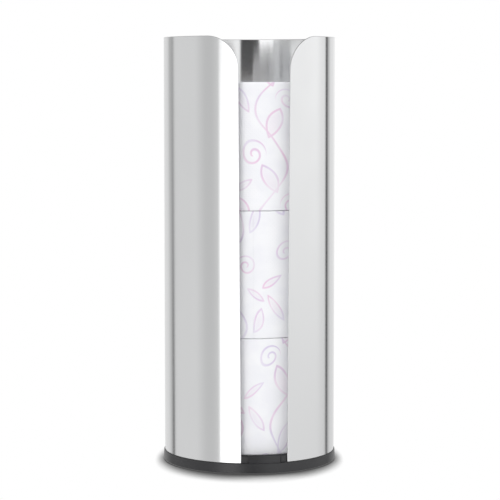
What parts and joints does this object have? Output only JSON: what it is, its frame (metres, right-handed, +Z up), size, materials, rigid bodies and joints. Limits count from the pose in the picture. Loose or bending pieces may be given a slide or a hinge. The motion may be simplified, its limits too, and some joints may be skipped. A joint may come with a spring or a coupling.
{
  "type": "toilet roll storage holder",
  "caption": "Upright open-fronted steel tube on a moulded base that stores a stack of spare toilet rolls, which lift out through the top.",
  "frame": {"origin": "on the floor, under the middle of the round base", "axes": "+Z up along the tube, -Y out through the front slot, +X to the right of someone who faces the slot"},
  "size_m": [0.133, 0.133, 0.3253],
  "materials": {
    "bright_steel": "polished",
    "base_plastic": "satin",
    "pad_rubber": "matte",
    "tissue": "matte",
    "core_board": "matte"
  },
  "bodies": {
    "holder": {"shell": "bright_steel", "base": "base_plastic", "foot_pad_1": "pad_rubber", "foot_pad_2": "pad_rubber", "foot_pad_3": "pad_rubber", "foot_pad_4": "pad_rubber"},
    "bottom_roll": {"bottom_paper": "tissue", "bottom_core": "core_board"},
    "middle_roll": {"middle_paper": "tissue", "middle_core": "core_board"},
    "top_roll": {"top_paper": "tissue", "top_core": "core_board"}
  },
  "joints": [
    {"name": "bottom_roll_lift", "type": "slide", "parent": "holder", "child": "bottom_roll", "axis": [0, 0, 1], "range_m": [0, 0.33]},
    {"name": "middle_roll_lift", "type": "slide", "parent": "bottom_roll", "child": "middle_roll", "axis": [0, 0, 1], "range_m": [0, 0.235]},
    {"name": "top_roll_lift", "type": "slide", "parent": "middle_roll", "child": "top_roll", "axis": [0, 0, 1], "range_m": [0, 0.14]}
  ]
}
